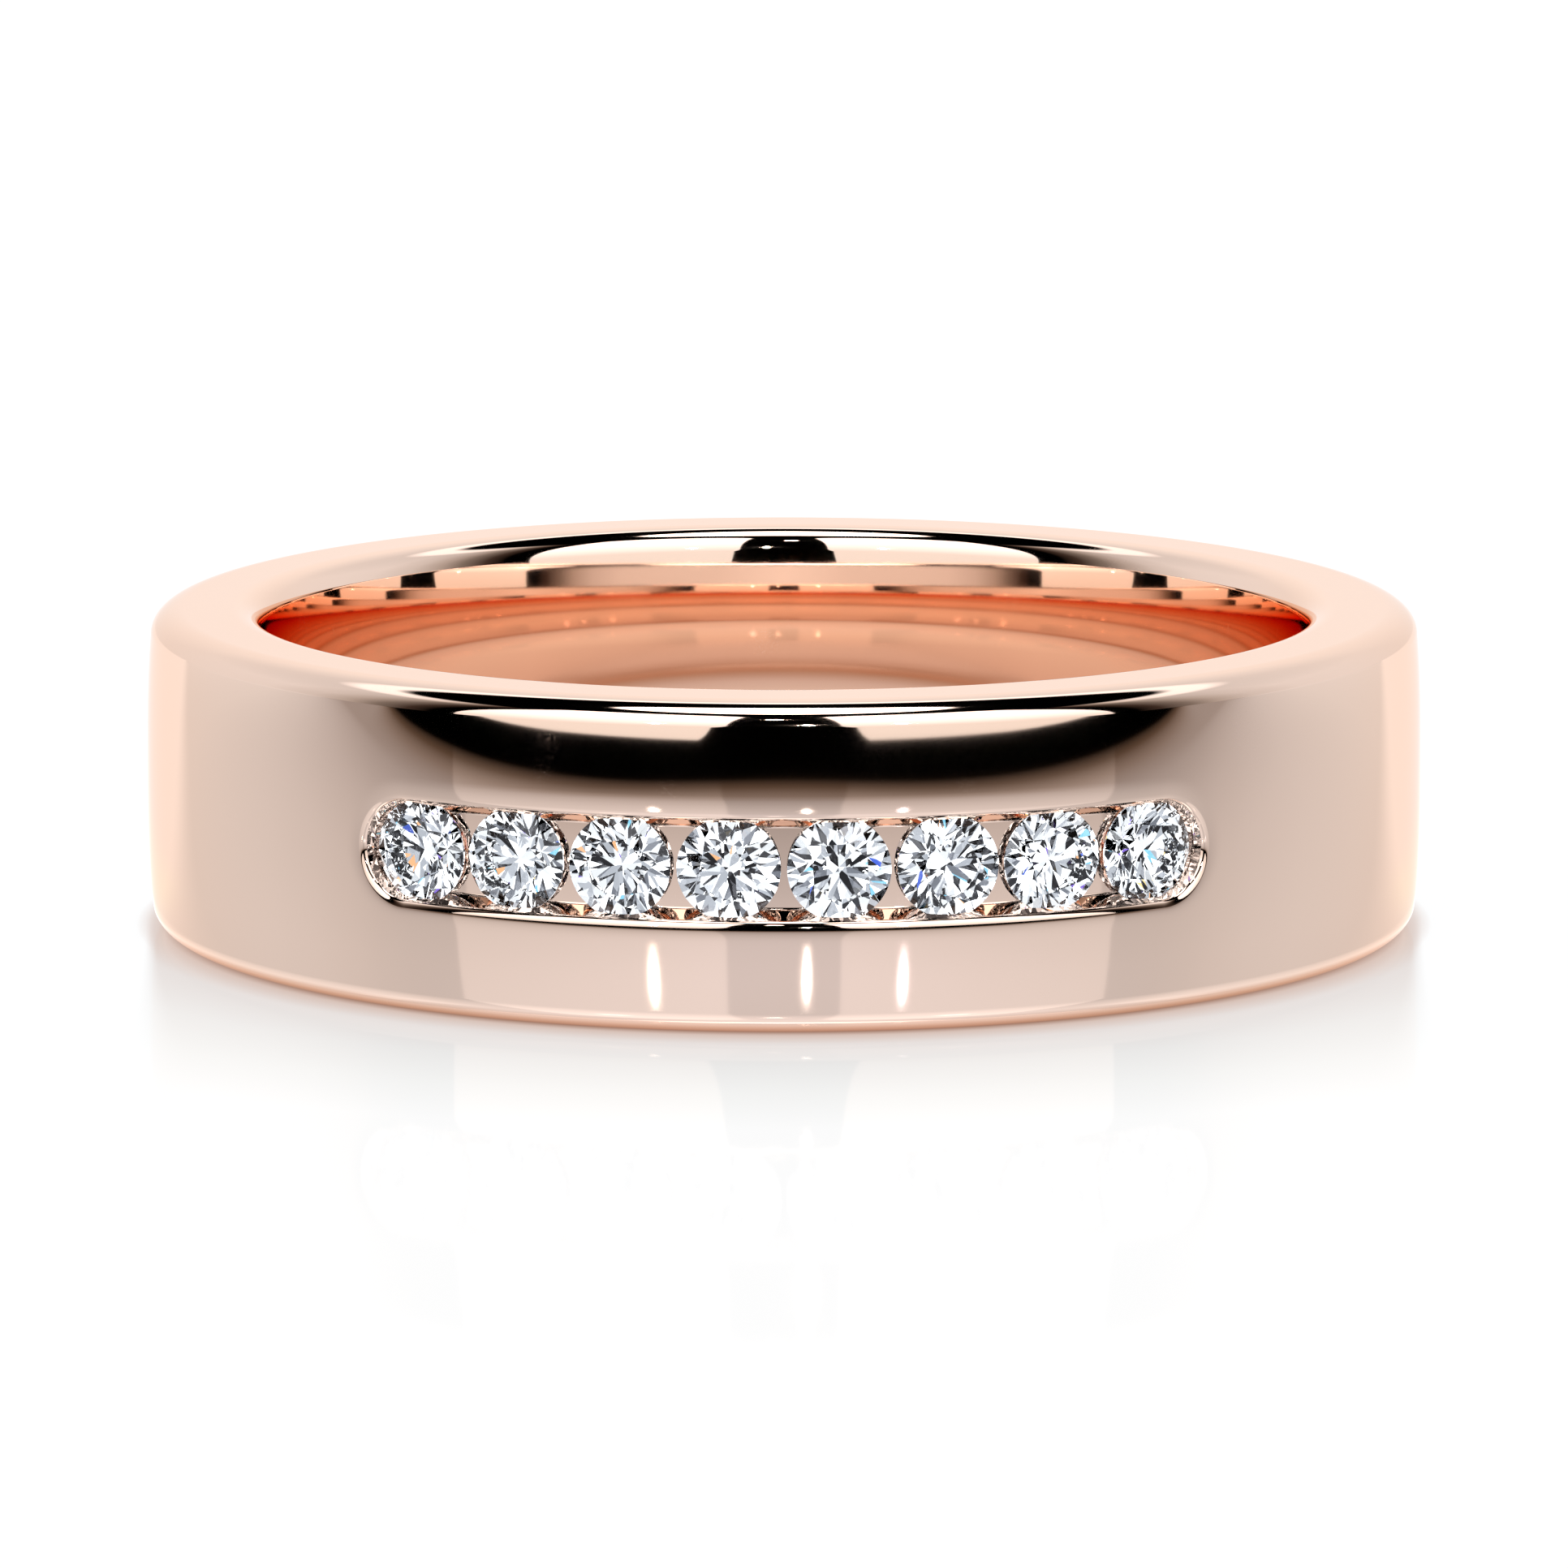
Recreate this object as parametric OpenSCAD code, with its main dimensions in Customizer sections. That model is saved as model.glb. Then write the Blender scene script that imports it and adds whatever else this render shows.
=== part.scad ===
// Channel-set wedding band: one cast gold band and eight round brilliant diamonds.
// The finger axis is +Z, the origin is the centre of the finger hole, and the
// row of stones faces -Y.

/* [Band] */
// Diameter of the straight land in the middle of the finger hole
finger_d = 19.4; // [17:0.1:20.4]
// Length of that straight land along the finger axis
land_len = 1.5; // [1:0.1:3]
// Greatest outer diameter
outer_d = 23.9; // [23.7:0.05:26]
// Width of the band along the finger axis
band_w = 6.0; // [5.6:0.1:7]
// How far the outer surface has fallen at the band's two side faces
dome_drop = 0.128; // [0.02:0.001:0.3]
// Exponent of that fall: 2 is a parabola, more is flatter in the middle
dome_power = 2.78; // [2:0.01:4]
// Outer edge rounding, measured towards the finger hole
edge_r = 0.62; // [0.3:0.01:0.7]
// Outer edge rounding, measured along the finger axis
edge_z = 0.43; // [0.2:0.01:0.6]
// How far the comfort-fit curve opens between the land and the side faces
comfort_r = 0.145; // [0.05:0.005:0.25]
// Inner rim rounding, measured away from the finger hole
rim_r = 0.58; // [0.4:0.01:0.7]
// Inner rim rounding, measured along the finger axis
rim_z = 0.45; // [0.35:0.01:0.5]

/* [Channel] */
// Half height of the channel where its lip meets the outer surface
lip_half = 1.05; // [1:0.01:1.15]
// Radius of the polished lip
lip_r = 0.17; // [0.1:0.01:0.2]
// Lean of the channel's walls away from straight in
wall_lean = 26; // [15:1:30]
// Depth of the channel's floor below the outer surface
floor_depth = 0.40; // [0.36:0.01:0.46]
// Distance from the last stone's centre to the centre of the channel's round end
end_offset = 0.235; // [0.2:0.005:0.4]

/* [Stones] */
// Number of stones in the row
stone_count = 8; // [1:1:8]
// Girdle diameter of a stone
stone_d = 1.86; // [1.8:0.01:1.9]
// Angle from one stone to the next around the band
stone_pitch = 9.64; // [9.6:0.01:10]
// Depth of the girdle's middle below the outer surface
girdle_depth = 0.27; // [0.25:0.01:0.3]
// Height of the girdle's band where it is thickest
girdle_h = 0.05; // [0.03:0.005:0.07]
// Table diameter as a share of the girdle diameter
table_share = 0.57; // [0.53:0.01:0.62]
// Crown angle of the bezel facets
crown_angle = 34; // [32:0.1:36]
// Pavilion angle of the main facets
pavilion_angle = 40.8; // [40:0.1:42]
// Reach of the star facets from the table's edge towards the girdle
star_share = 0.5; // [0.4:0.01:0.6]
// Reach of the lower half facets from the girdle towards the culet
lower_share = 0.78; // [0.7:0.01:0.85]

/* [Seats] */
// Gap between a stone and the gold around it
seat_gap = 0.01; // [0.005:0.005:0.02]
// Radius of the round opening in the floor under each stone
opening_r = 0.90; // [0.86:0.01:0.91]
// Depth of that opening's straight side below the floor
opening_depth = 0.05; // [0.02:0.01:0.1]
// Radius of the pilot hole under each stone's point
pilot_r = 0.12; // [0.08:0.01:0.2]
// Depth of that pilot hole below the girdle's middle
pilot_reach = 0.92; // [0.9:0.01:1.1]

/* [Hidden] */
$fn = 96;

gold = [0.93, 0.72, 0.62];
diamond_white = [0.93, 0.95, 0.98];

finger_r = finger_d / 2;
outer_r = outer_d / 2;
half_w = band_w / 2;
half_land = land_len / 2;
dome_steps = 14;
edge_steps = 7;
comfort_steps = 6;
rim_steps = 8;
// Shares of the rim's height and reach over which its curve keeps its first and last direction
rim_hold = 0.72;
rim_pull = 0.56;

// Radius of the domed outer surface at height z
function dome(z) = outer_r - dome_drop * pow(abs(z) / half_w, dome_power);
// Radius of the comfort-fit curve at height z, beyond the land
function comfort(z) = finger_r + comfort_r * pow((z - half_land) / (half_w - half_land), 2);

// Point of a cubic curve at a share t of its way
function curve(a, b, c, d, t) =
    pow(1 - t, 3) * a + 3 * t * pow(1 - t, 2) * b + 3 * t * t * (1 - t) * c + pow(t, 3) * d;

dome_end = half_w - edge_z;
comfort_end = half_w - rim_z;

// Section of the upper half, from the rim of the finger hole out to the dome
comfort_line = [for (i = [0:comfort_steps])
    let (z = half_land + (comfort_end - half_land) * i / comfort_steps) [comfort(z), z]];
rim_foot = [comfort(comfort_end), comfort_end];
rim_lean = 2 * comfort_r * (comfort_end - half_land) / pow(half_w - half_land, 2);
rim_top = [rim_foot[0] + rim_r, half_w];
rim_arc = [for (i = [1:rim_steps])
    curve(rim_foot, rim_foot + rim_hold * rim_z * [rim_lean, 1],
        rim_top - [rim_pull * rim_r, 0], rim_top, i / rim_steps)];
edge_arc = [for (i = [0:edge_steps - 1])
    let (t = 90 * i / edge_steps)
    [dome(dome_end) - edge_r * (1 - sin(t)), dome_end + edge_z * cos(t)]];
dome_line = [for (i = [0:dome_steps])
    let (z = dome_end * (1 - i * 2 / dome_steps)) [dome(z), z]];
upper_half = concat(comfort_line, rim_arc, edge_arc);
section = concat(upper_half, dome_line, [for (i = [len(upper_half) - 1:-1:0])
    [upper_half[i][0], -upper_half[i][1]]]);

// Channel section, as [half height, depth below the outer surface]
lip_steps = 6;
lip_turn = 90 - wall_lean;
lip_foot_depth = lip_r * (1 - cos(lip_turn));
lip_foot_half = lip_half - lip_r * sin(lip_turn);
floor_half = lip_foot_half - (floor_depth - lip_foot_depth) * tan(wall_lean);
lip_side = [for (i = [0:lip_steps])
    let (t = lip_turn * i / lip_steps)
    [lip_half - lip_r * sin(t), lip_r * (1 - cos(t))]];
channel_side = concat([[lip_half, -0.5]], lip_side, [[floor_half, floor_depth]]);
row_half_angle = stone_pitch * (stone_count - 1) / 2;
end_angle = row_half_angle + end_offset / outer_r * 180 / PI;

// Stone proportions, measured from the middle of the girdle
stone_r = stone_d / 2;
girdle_r = outer_r - girdle_depth;
girdle_half = girdle_h / 2;
table_r = stone_r * table_share;
crown_h = (stone_r - table_r) * tan(crown_angle);
half_turn = 22.5;
table_flat_r = table_r * cos(half_turn);
star_r = table_flat_r + star_share * (stone_r - table_flat_r);
star_h = (stone_r - star_r * cos(half_turn)) * tan(crown_angle);
lower_r = stone_r * (1 - lower_share);
lower_h = (stone_r - lower_r * cos(half_turn)) * tan(pavilion_angle);
culet_h = stone_r * tan(pavilion_angle);
// Outside the round girdle the facets run on to a sixteen-sided outline
rough_r = stone_r * 1.03;
rough_rise = (rough_r - stone_r) * tan(crown_angle);
rough_fall = (rough_r - stone_r) * tan(pavilion_angle);

function ring_point(r, a, h) = [r * cos(a), r * sin(a), h];

brilliant_points = concat(
    [for (k = [0:7]) ring_point(table_r, 45 * k, girdle_half + crown_h)],
    [for (k = [0:7]) ring_point(star_r, 45 * k + half_turn, girdle_half + star_h)],
    [for (k = [0:15]) ring_point(rough_r, half_turn * k, girdle_half - rough_rise)],
    [for (k = [0:15]) ring_point(rough_r, half_turn * k, rough_fall - girdle_half)],
    [for (k = [0:7]) ring_point(lower_r, 45 * k + half_turn, -girdle_half - lower_h)],
    [[0, 0, -girdle_half - culet_h]]);
star_0 = 8;
top_0 = 16;
low_0 = 32;
lower_0 = 48;
culet = 56;

// Faces are listed clockwise as seen from outside
brilliant_faces = concat(
    [[7, 6, 5, 4, 3, 2, 1, 0]],
    [for (k = [0:7]) [k, (k + 1) % 8, star_0 + k]],
    [for (k = [0:7]) [k, star_0 + k, top_0 + 2 * k, star_0 + (k + 7) % 8]],
    [for (k = [0:7]) [star_0 + k, top_0 + 2 * k + 1, top_0 + 2 * k]],
    [for (k = [0:7]) [star_0 + k, top_0 + (2 * k + 2) % 16, top_0 + 2 * k + 1]],
    [for (k = [0:15]) [top_0 + k, top_0 + (k + 1) % 16, low_0 + (k + 1) % 16, low_0 + k]],
    [for (k = [0:7]) [lower_0 + k, low_0 + 2 * k, low_0 + 2 * k + 1]],
    [for (k = [0:7]) [lower_0 + k, low_0 + 2 * k + 1, low_0 + (2 * k + 2) % 16]],
    [for (k = [0:7]) [culet, lower_0 + (k + 7) % 8, low_0 + 2 * k, lower_0 + k]]);

// Seat section around a stone's own axis, as [radius, height above the girdle's middle]
notch_r = stone_r + seat_gap;
notch_half = girdle_half + seat_gap;
bearing_h = -notch_half - (notch_r - opening_r) * tan(pavilion_angle);
opening_h = girdle_depth - floor_depth - opening_depth;
pilot_h = opening_h - (opening_r - pilot_r) * tan(pavilion_angle);
seat_top_r = 0.4;
seat_section = [[0, -pilot_reach], [pilot_r, -pilot_reach], [pilot_r, pilot_h], [opening_r, opening_h],
    [opening_r, bearing_h], [notch_r, -notch_half], [notch_r, notch_half],
    [seat_top_r, notch_half + (notch_r - seat_top_r) * tan(crown_angle)],
    [0, notch_half + (notch_r - seat_top_r) * tan(crown_angle)]];

function stone_angle(n) = (n - (stone_count - 1) / 2) * stone_pitch;

// Put the children at an angle along the row, with +Z pointing straight out of the band
module on_row(angle, r) {
    rotate([0, 0, angle])
        translate([0, -r, 0])
            rotate([90, 0, 0])
                children();
}

// Straight run of the channel, wrapped around the band
module channel_run() {
    rotate([0, 0, -90 - end_angle])
        rotate_extrude(angle = 2 * end_angle)
            polygon(concat(
                [for (p = channel_side) [outer_r - p[1], p[0]]],
                [for (i = [len(channel_side) - 1:-1:0])
                    [outer_r - channel_side[i][1], -channel_side[i][0]]]));
}

// Round end of the channel: a half turn of the same section, on the far side of its own axis
module channel_end(side) {
    rotate([0, 0, -90 * side])
        rotate_extrude(angle = 180)
            polygon(concat(
                [for (p = channel_side) [p[0], -p[1]]],
                [[0, -floor_depth], [0, 0.5]]));
}

// Seat that is cut for one stone: pilot hole, cone, opening in the floor, and the notch for the girdle
module seat() {
    rotate_extrude()
        polygon(seat_section);
}

module band() {
    color(gold)
        difference() {
            rotate_extrude() polygon(section);
            channel_run();
            for (side = [-1, 1]) on_row(side * end_angle, outer_r) channel_end(side);
            for (n = [0:stone_count - 1]) on_row(stone_angle(n), girdle_r) seat();
        }
}

// One round brilliant: a faceted stone turned to a round girdle
module brilliant() {
    intersection() {
        polyhedron(points = brilliant_points, faces = brilliant_faces, convexity = 2);
        translate([0, 0, -stone_d]) cylinder(r = stone_r, h = 2 * stone_d);
    }
}

// Stone number n of the row, counted from 0 at the -X end
module diamond(n) {
    color(diamond_white)
        on_row(stone_angle(n), girdle_r) brilliant();
}

band();
diamond(0);  // diamond_1
diamond(1);  // diamond_2
diamond(2);  // diamond_3
diamond(3);  // diamond_4
diamond(4);  // diamond_5
diamond(5);  // diamond_6
diamond(6);  // diamond_7
diamond(7);  // diamond_8
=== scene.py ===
"""Channel-set wedding band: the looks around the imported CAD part, in metres, in the same frame."""

import math

import bpy
import numpy as np
from mathutils import Matrix, Vector


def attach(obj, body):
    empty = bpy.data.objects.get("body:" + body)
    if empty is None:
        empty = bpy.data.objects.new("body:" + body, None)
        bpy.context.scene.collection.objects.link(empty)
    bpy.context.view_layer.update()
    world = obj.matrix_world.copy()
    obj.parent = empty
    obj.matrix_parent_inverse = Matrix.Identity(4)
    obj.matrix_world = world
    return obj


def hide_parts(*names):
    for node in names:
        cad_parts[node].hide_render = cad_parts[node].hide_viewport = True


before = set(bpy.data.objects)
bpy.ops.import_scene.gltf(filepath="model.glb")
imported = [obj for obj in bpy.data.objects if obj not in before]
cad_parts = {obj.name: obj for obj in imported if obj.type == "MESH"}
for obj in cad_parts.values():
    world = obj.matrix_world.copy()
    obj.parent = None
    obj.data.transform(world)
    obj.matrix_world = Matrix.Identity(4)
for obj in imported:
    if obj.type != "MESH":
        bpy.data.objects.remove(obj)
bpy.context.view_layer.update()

MM = 0.001
scene = bpy.context.scene

# ---------------------------------------------------------------- sizes, in mm, as in the CAD
FINGER_R = 9.7
HALF_LAND = 0.75  # half the straight land in the finger hole
OUTER_R = 11.95
HALF_W = 3.0
DOME_DROP = 0.128  # from the middle of the dome to the side face
DOME_POWER = 2.78
EDGE_R, EDGE_Z = 0.62, 0.43  # outer edge rounding, radially and along the axis
COMFORT_R = 0.145  # how far the comfort-fit curve opens the hole
RIM_R, RIM_Z = 0.58, 0.45  # inner edge rounding, radially and along the axis
RIM_HOLD, RIM_PULL = 0.72, 0.56  # handle lengths of the inner edge's curve
LIP_HALF = 1.05  # half the channel's width at its lip
LIP_R = 0.17
WALL_LEAN = math.radians(26)
FLOOR_DEPTH = 0.40
STONES = 8
STONE_R = 0.93
PITCH = math.radians(9.64)  # from stone to stone, around the finger axis
GIRDLE_DEPTH = 0.27
GIRDLE_HALF = 0.025
TABLE_SHARE = 0.57  # of the stone's width
CROWN_ANGLE = math.radians(34)
PAVILION_ANGLE = math.radians(40.8)
STAR_SHARE = 0.5  # of the way from table to girdle
LOWER_SHARE = 0.78  # of the way from girdle to culet
SEAT_GAP = 0.01
OPENING_R = 0.90
OPENING_DEPTH = 0.05
PILOT_R = 0.12
PILOT_REACH = 0.92
END_OFFSET = 0.235  # from the end stone's axis to the centre of the channel's round end
DOME_END = HALF_W - EDGE_Z
COMFORT_END = HALF_W - RIM_Z
GIRDLE_R = OUTER_R - GIRDLE_DEPTH
END_S = OUTER_R * PITCH * (STONES - 1) / 2 + END_OFFSET

# ---------------------------------------------------------------- softening, in mm, not in the CAD
FILLET_R = 0.06  # between channel wall and floor
SHOULDER_W = 0.32  # roll-off outside the lip
SHOULDER_SLOPE = math.tan(math.radians(6))
SHOULDER_DEPTH = SHOULDER_SLOPE * SHOULDER_W / 3


# ---------------------------------------------------------------- node helpers
def new_material(name):
    mat = bpy.data.materials.new(name)
    mat.use_nodes = True
    tree = mat.node_tree
    for n in list(tree.nodes):
        if n.type != "OUTPUT_MATERIAL":
            tree.nodes.remove(n)
    out = next(n for n in tree.nodes if n.type == "OUTPUT_MATERIAL")
    return mat, tree, out


def add_node(tree, kind, inputs=None, **props):
    n = tree.nodes.new(kind)
    for key, value in props.items():
        setattr(n, key, value)
    for key, value in (inputs or {}).items():
        sock = n.inputs[key]
        if isinstance(value, bpy.types.NodeSocket):
            tree.links.new(value, sock)
        else:
            sock.default_value = value
    return n


def math_node(tree, op, a, b=0.0):
    return add_node(tree, "ShaderNodeMath", {0: a, 1: b}, operation=op).outputs[0]


def add(tree, a, b):
    return math_node(tree, "ADD", a, b)


def sub(tree, a, b):
    return math_node(tree, "SUBTRACT", a, b)


def mul(tree, a, b):
    return math_node(tree, "MULTIPLY", a, b)


def absolute(tree, a):
    return math_node(tree, "ABSOLUTE", a)


def colour_node(tree, op, a, b):
    return add_node(tree, "ShaderNodeVectorMath", {0: a, 1: b}, operation=op).outputs[0]


def ramp(tree, fac, stops, interpolation="LINEAR"):
    """stops: (position, (r, g, b)) or (position, grey)"""
    n = add_node(tree, "ShaderNodeValToRGB", {"Fac": fac})
    cr = n.color_ramp
    cr.interpolation = interpolation
    while len(cr.elements) < len(stops):
        cr.elements.new(0.5)
    for el, (pos, col) in zip(cr.elements, stops):
        el.position = pos
        el.color = (*(col if isinstance(col, tuple) else (col, col, col)), 1.0)
    return n.outputs["Color"]


def scaled_ramp(tree, value, low, high, stops):
    """A ramp from low to high, with its stops in the value's own unit."""
    span = high - low
    share = math_node(tree, "DIVIDE", sub(tree, value, low), span)
    return ramp(tree, share, [((pos - low) / span, col) for pos, col in stops])


def soft_step(tree, value, start, end):
    """0 up to start, 1 from end on, smooth in between."""
    inputs = {"Value": value, "From Min": start, "From Max": end}
    return add_node(tree, "ShaderNodeMapRange", inputs,
                    interpolation_type="SMOOTHSTEP").outputs["Result"]


def blend(tree, fac, a, b):
    """Colour a where fac is 0, b where it is 1."""
    n = tree.nodes.new("ShaderNodeMix")
    n.data_type = "RGBA"
    for sock, value in ((n.inputs[0], fac), (n.inputs[6], a), (n.inputs[7], b)):
        if isinstance(value, bpy.types.NodeSocket):
            tree.links.new(value, sock)
        else:
            sock.default_value = value
    return n.outputs[2]


# ---------------------------------------------------------------- the band's surface
def dome(z):
    return OUTER_R - DOME_DROP * np.abs(z / HALF_W) ** DOME_POWER


def dome_slope(z):
    steep = DOME_DROP * DOME_POWER / HALF_W
    return -steep * np.abs(z / HALF_W) ** (DOME_POWER - 1) * np.sign(z)


# places on the channel's section are (distance from its centre line, depth below the dome)
LIP_TURN = math.pi / 2 - WALL_LEAN
LIP_FOOT = (LIP_HALF - LIP_R * math.sin(LIP_TURN), LIP_R * (1 - math.cos(LIP_TURN)))
WALL_DOWN = (-math.sin(WALL_LEAN), math.cos(WALL_LEAN))
WALL_NORMAL = (-math.cos(WALL_LEAN), -math.sin(WALL_LEAN))
# the fillet is a circle tangent to wall and floor
FILLET_C_D = FLOOR_DEPTH - FILLET_R
WALL_RUN = (FILLET_C_D - LIP_FOOT[1] - FILLET_R * WALL_NORMAL[1]) / WALL_DOWN[1]
FILLET_C = (LIP_FOOT[0] + WALL_RUN * WALL_DOWN[0] + FILLET_R * WALL_NORMAL[0], FILLET_C_D)
WALL_END = FILLET_C[0] - FILLET_R * WALL_NORMAL[0]
FLAT_HALF = FILLET_C[0]


def depth_and_slope(rho):
    """The channel's depth below the dome at a distance rho from its centre line, and its slope."""
    rho = np.asarray(rho, float)
    depth = np.zeros_like(rho)
    slope = np.zeros_like(rho)
    shoulder = (rho >= LIP_HALF) & (rho < LIP_HALF + SHOULDER_W)
    left = 1 - (rho[shoulder] - LIP_HALF) / SHOULDER_W
    depth[shoulder] = SHOULDER_DEPTH * left ** 3
    slope[shoulder] = -SHOULDER_SLOPE * left ** 2
    lip = (rho < LIP_HALF) & (rho >= LIP_FOOT[0])
    t = np.arcsin(np.clip((LIP_HALF - rho[lip]) / LIP_R, 0, 1))
    share = (rho[lip] - LIP_FOOT[0]) / (LIP_HALF - LIP_FOOT[0])
    depth[lip] = LIP_R * (1 - np.cos(t)) + SHOULDER_DEPTH * share
    slope[lip] = -np.tan(np.maximum(t, math.atan(SHOULDER_SLOPE)))
    wall = (rho < LIP_FOOT[0]) & (rho >= WALL_END)
    depth[wall] = LIP_FOOT[1] + (LIP_FOOT[0] - rho[wall]) / math.tan(WALL_LEAN)
    slope[wall] = -1 / math.tan(WALL_LEAN)
    fillet = (rho < WALL_END) & (rho >= FLAT_HALF)
    x = (rho[fillet] - FILLET_C[0]) / FILLET_R
    depth[fillet] = FILLET_C[1] + FILLET_R * np.sqrt(np.clip(1 - x * x, 0, 1))
    slope[fillet] = -x / np.sqrt(np.clip(1 - x * x, 1e-6, 1))
    depth[rho < FLAT_HALF] = FLOOR_DEPTH
    return depth, slope


def outer_point(s, z):
    """Points of the dome with the channel in it, from the arc length s at OUTER_R and height z."""
    over = np.maximum(np.abs(s) - END_S, 0)
    rho = np.hypot(over, z)
    depth, _ = depth_and_slope(rho)
    r = dome(z) - depth
    a = s / OUTER_R
    return np.stack([r * np.sin(a), -r * np.cos(a), z], -1)


def outer_normal(points):
    """Normals at places that outer_point gives."""
    a = np.arctan2(points[:, 0], -points[:, 1])
    s, z = a * OUTER_R, points[:, 2]
    r = np.hypot(points[:, 0], points[:, 1])
    over = np.maximum(np.abs(s) - END_S, 0)
    rho = np.hypot(over, z)
    _, slope = depth_and_slope(rho)
    safe = np.maximum(rho, 1e-9)
    r_s = -slope * over / safe * np.sign(s)
    r_z = dome_slope(z) - slope * z / safe
    e_r = np.stack([np.sin(a), -np.cos(a), 0 * a], -1)
    e_a = np.stack([np.cos(a), np.sin(a), 0 * a], -1)
    n = e_r - (OUTER_R / r * r_s)[:, None] * e_a
    n[:, 2] -= r_z
    return n / np.linalg.norm(n, axis=1)[:, None]


def bezier(p0, p1, p2, p3, t):
    """Points and tangents of a cubic curve."""
    t = np.asarray(t)[:, None]
    p = (1 - t) ** 3 * p0 + 3 * t * (1 - t) ** 2 * p1 + 3 * t * t * (1 - t) * p2 + t ** 3 * p3
    d = 3 * (1 - t) ** 2 * (p1 - p0) + 6 * t * (1 - t) * (p2 - p1) + 3 * t * t * (p3 - p2)
    return p, d


def comfort(z):
    return FINGER_R + COMFORT_R * ((z - HALF_LAND) / (HALF_W - HALF_LAND)) ** 2


def comfort_slope(z):
    return 2 * COMFORT_R * (z - HALF_LAND) / (HALF_W - HALF_LAND) ** 2


QUARTER_HANDLE = 0.5523  # handle length that makes a curve a quarter of an ellipse
EDGE_POINTS, RIM_POINTS, COMFORT_STEPS = 15, 25, 12


def side_profile():
    """The band's section from the end of the dome over the side face and through the hole to
    the other end of the dome: (r, z) points and outward normals."""
    pts, nor = [], []
    # the outer edge, from the dome to the side face
    r0 = float(dome(np.array(DOME_END)))
    start = np.array([r0, DOME_END])
    end = np.array([r0 - EDGE_R, HALF_W])
    along = np.array([float(dome_slope(np.array(DOME_END))), 1.0])
    p, d = bezier(start, start + QUARTER_HANDLE * EDGE_Z * along,
                  end + QUARTER_HANDLE * EDGE_R * np.array([1.0, 0.0]), end,
                  np.linspace(0, 1, EDGE_POINTS))
    pts += list(p)
    nor += [np.array([v[1], -v[0]]) / np.hypot(*v) for v in d]
    # the flat side face
    foot = np.array([comfort(COMFORT_END), COMFORT_END])
    top = foot + [RIM_R, RIM_Z]
    for share in (0.25, 0.5, 0.75):
        pts.append(end + (top - end) * share)
        nor.append(np.array([0.0, 1.0]))
    # the inner edge, the comfort-fit curve and the straight land
    along = np.array([comfort_slope(COMFORT_END), 1.0])
    p, d = bezier(foot, foot + RIM_HOLD * RIM_Z * along, top - [RIM_PULL * RIM_R, 0], top,
                  np.linspace(1, 0, RIM_POINTS))
    pts += list(p)
    nor += [np.array([-v[1], v[0]]) / np.hypot(*v) for v in d]
    for z in np.linspace(COMFORT_END, HALF_LAND, COMFORT_STEPS + 1)[1:]:
        pts.append(np.array([comfort(z), z]))
        v = np.array([-1.0, comfort_slope(z)])
        nor.append(v / np.hypot(*v))
    for z in (0.5, 0.25):
        pts.append(np.array([FINGER_R, z]))
        nor.append(np.array([-1.0, 0.0]))
    # the lower half mirrors the upper
    pts, nor = np.array(pts), np.array(nor)
    return (np.concatenate([pts, [[FINGER_R, 0.0]], pts[::-1] * [1, -1]]),
            np.concatenate([nor, [[-1.0, 0.0]], nor[::-1] * [1, -1]]))


PLACES_PER_MM = 2e5  # vertices that round to the same place are one


class Mesher:
    """Collects vertices, merged by place, and faces with a class number."""

    def __init__(self):
        self.keys, self.co, self.faces, self.kind = {}, [], [], []

    def grid(self, p):
        """Vertex numbers of an array of points (..., 3)."""
        flat = p.reshape(-1, 3)
        out = np.empty(len(flat), int)
        for i, v in enumerate(flat):
            key = tuple(round(x * PLACES_PER_MM) for x in v)
            n = self.keys.get(key)
            if n is None:
                n = self.keys[key] = len(self.co)
                self.co.append(v)
            out[i] = n
        return out.reshape(p.shape[:-1])

    def quads(self, ids, kind, wrap=False):
        """Faces over a 2-D array of vertex numbers."""
        rows, cols = ids.shape
        for i in range(rows - 1):
            for j in range(cols if wrap else cols - 1):
                k = (j + 1) % cols
                f = [ids[i, j], ids[i, k], ids[i + 1, k], ids[i + 1, j]]
                f = [v for n, v in enumerate(f) if v != f[n - 1]]
                if len(set(f)) < 3:
                    continue
                self.faces.append(f)
                self.kind.append(kind)


# faces along the channel's straight run, around its round end, and around the ring's back
RUN_N, END_N, BACK_N = 208, 64, 200
# points on the way in from the border, and how they crowd towards the lip
DOME_ROWS, DOME_CROWDING = 22, 1.6
LIP_ROWS, WALL_ROWS, FILLET_ROWS, FLAT_ROWS = 14, 5, 7, 6
FRONT_S = END_S + DOME_END  # half the length of the dome patch with the channel in it

# class numbers of the band's faces
K_OUTER, K_SIDE, K_SEAT = 0, 1, 2


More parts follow.
